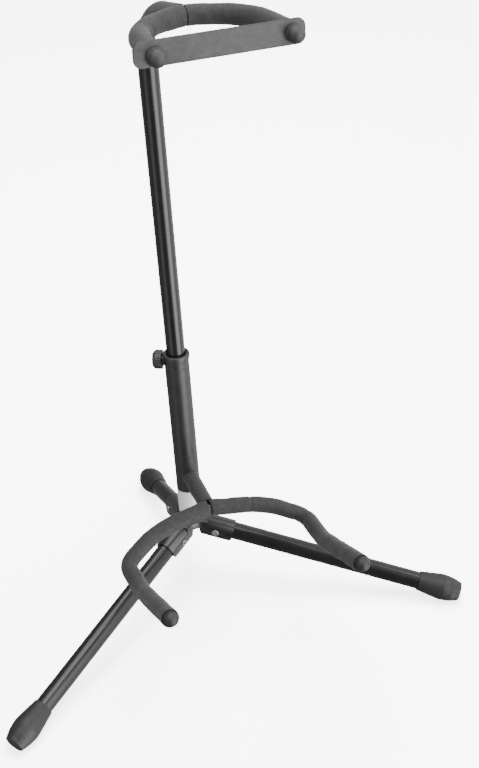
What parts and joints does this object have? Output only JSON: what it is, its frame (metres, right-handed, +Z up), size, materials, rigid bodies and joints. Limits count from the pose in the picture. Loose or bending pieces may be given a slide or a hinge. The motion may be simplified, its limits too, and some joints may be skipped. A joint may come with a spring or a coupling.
{
  "type": "guitar floor stand",
  "caption": "Folding tripod floor stand for a guitar: leaning telescopic column, foam-covered cradle below, foam-covered neck yoke with a quick-release strap above.",
  "frame": {"origin": "on the floor, under the middle of the stand's bounding box", "axes": "+Z up; the cradle and the yoke open towards -Y, the front; +X to the right as seen from behind facing +Y, which is the viewer's right when facing the stand's front"},
  "size_m": [0.5162, 0.3866, 0.6784],
  "materials": {
    "painted_tube": "gloss",
    "painted_column": "satin",
    "painted_hub": "satin",
    "foam": "matt",
    "rubber_foot": "matt",
    "strap_rubber": "satin",
    "black_plastic": "matt",
    "zinc": "satin",
    "label_paper": "matt"
  },
  "bodies": {
    "base": {"hub_bracket": "painted_hub", "leg_rivets": "zinc", "lower_column": "painted_column", "mouth_collar": "black_plastic", "clamp_nut": "painted_column", "blank_label": "label_paper", "cradle_stem": "painted_hub", "cradle_rod": "painted_hub", "cradle_stem_foam": "foam", "cradle_foam_left": "foam", "cradle_foam_right": "foam", "cradle_cap_left": "rubber_foot", "cradle_cap_right": "rubber_foot"},
    "left_leg": {"leg_tube_left": "painted_tube", "foot_cap_left": "rubber_foot"},
    "right_leg": {"leg_tube_right": "painted_tube", "foot_cap_right": "rubber_foot"},
    "rear_leg": {"leg_tube_rear": "painted_tube", "foot_cap_rear": "rubber_foot"},
    "slider": {"guide_bush": "black_plastic"},
    "mast": {"upper_column": "painted_tube", "column_plug": "black_plastic", "yoke_stem": "painted_hub", "yoke_rod": "painted_hub", "yoke_stem_foam": "foam", "yoke_foam_left": "foam", "yoke_foam_right": "foam", "yoke_stud_left": "rubber_foot", "yoke_stud_right": "rubber_foot"},
    "strap": {"neck_strap": "strap_rubber"},
    "clamp_shoe": {"clamp_pad": "black_plastic"},
    "thumbscrew": {"thumbscrew_stud": "zinc", "thumbscrew_knob": "black_plastic"}
  },
  "joints": [
    {"name": "left_leg_fold", "type": "hinge", "parent": "base", "child": "left_leg", "pos_m": [-0.02464, 0.02404, 0.06542], "axis": [0.5446, -0.8387, 0], "range_deg": [0, 78]},
    {"name": "right_leg_fold", "type": "hinge", "parent": "base", "child": "right_leg", "pos_m": [0.02464, 0.02404, 0.06542], "axis": [0.5446, 0.8387, 0], "range_deg": [0, 78]},
    {"name": "rear_leg_fold", "type": "hinge", "parent": "base", "child": "rear_leg", "pos_m": [0, 0.08151, 0.05403], "axis": [-1, 0, 0], "range_deg": [0, 67]},
    {"name": "column_slide", "type": "slide", "parent": "base", "child": "slider", "axis": [0, 0.1461, 0.9893], "range_m": [-0.125, 0.034]},
    {"name": "column_turn", "type": "hinge", "parent": "slider", "child": "mast", "pos_m": [0, 0.06586, 0.2676], "axis": [0, 0.1461, 0.9893], "range_deg": [-180, 180]},
    {"name": "strap_swing", "type": "hinge", "parent": "mast", "child": "strap", "pos_m": [0.0558, -0.06796, 0.6653], "axis": [0, 0.9912, -0.1323], "range_deg": [0, 170]},
    {"name": "clamp_travel", "type": "slide", "parent": "base", "child": "clamp_shoe", "axis": [-0.866, 0.4946, -0.073], "range_m": [0, 0.001]},
    {"name": "thumbscrew_turn", "type": "hinge", "parent": "clamp_shoe", "child": "thumbscrew", "pos_m": [-0.01386, 0.0748, 0.27335], "axis": [-0.866, 0.4946, -0.073], "range_deg": [0, 360]}
  ],
  "couplings": [
    {"joint": "thumbscrew_turn", "follows": "clamp_travel", "rad_per_m": 6283.2}
  ]
}
